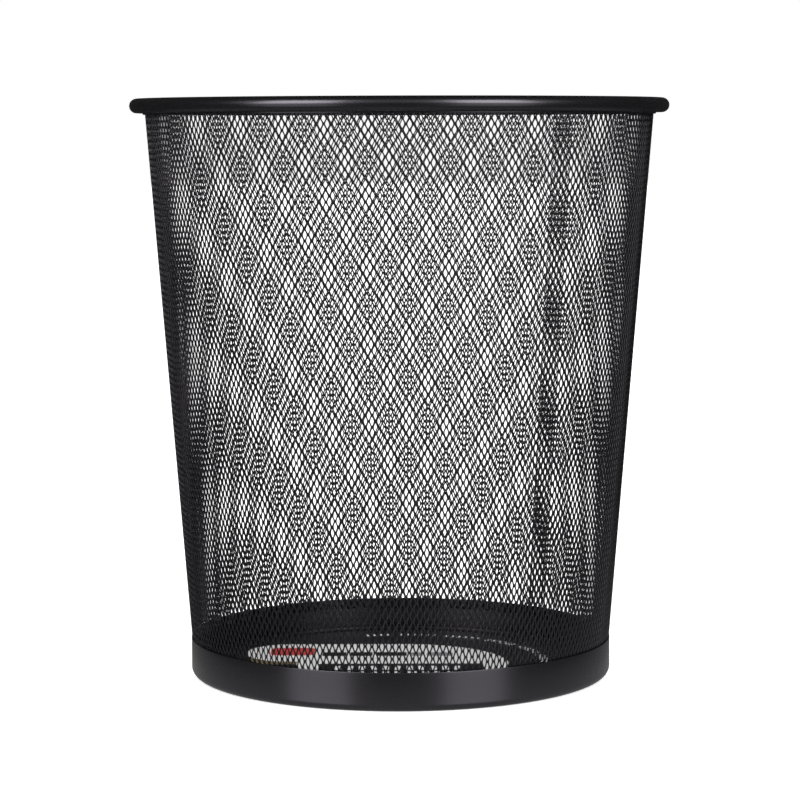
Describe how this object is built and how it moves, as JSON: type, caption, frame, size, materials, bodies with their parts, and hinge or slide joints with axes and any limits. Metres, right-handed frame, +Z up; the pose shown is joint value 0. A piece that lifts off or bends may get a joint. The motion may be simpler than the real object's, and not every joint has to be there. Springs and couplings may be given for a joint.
{
  "type": "wastebasket",
  "caption": "Round tapered office wastebasket with an expanded-metal mesh wall, a rolled rim, a solid base band and a pressed floor with a printed card.",
  "frame": {"origin": "centre of the base, on the ground", "axes": "+Z up along the basket's axis, +Y to its back and +X to its right as the picture shows it"},
  "size_m": [0.26, 0.26, 0.28],
  "materials": {
    "rim_steel": "satin",
    "mesh_steel": "satin",
    "band_steel": "satin",
    "floor_steel": "satin",
    "card": "matte"
  },
  "bodies": {
    "root": {"rim_bead": "rim_steel", "mesh_wall": "mesh_steel", "base_band": "band_steel", "floor_pan": "floor_steel", "label_card": "card"}
  },
  "joints": []
}
